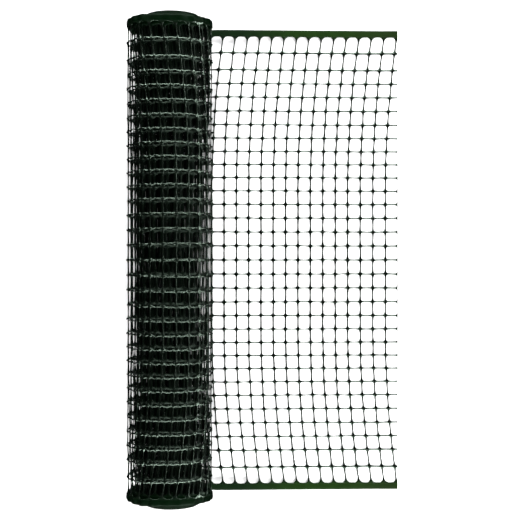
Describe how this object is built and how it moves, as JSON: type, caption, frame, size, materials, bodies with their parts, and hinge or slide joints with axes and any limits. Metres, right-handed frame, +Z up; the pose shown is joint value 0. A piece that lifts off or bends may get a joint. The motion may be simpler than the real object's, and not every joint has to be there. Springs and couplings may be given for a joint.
{
  "type": "roll of plastic mesh fencing",
  "caption": "Roll of dark green plastic mesh fencing lying on its side: a hollow spiral winding with smooth edge bands, and a loose end of open netting laid out beside it.",
  "frame": {"origin": "on the flat spot under the roll, below its axis and halfway along it", "axes": "+Y along the roll, +X the way the loose end is laid out, +Z up"},
  "size_m": [0.5773, 1.018, 0.1776],
  "materials": {
    "green_plastic": "moulded, dark green, softly glossy"
  },
  "bodies": {
    "root": {"rolled_net": "green_plastic", "loose_end": "green_plastic"}
  },
  "joints": []
}
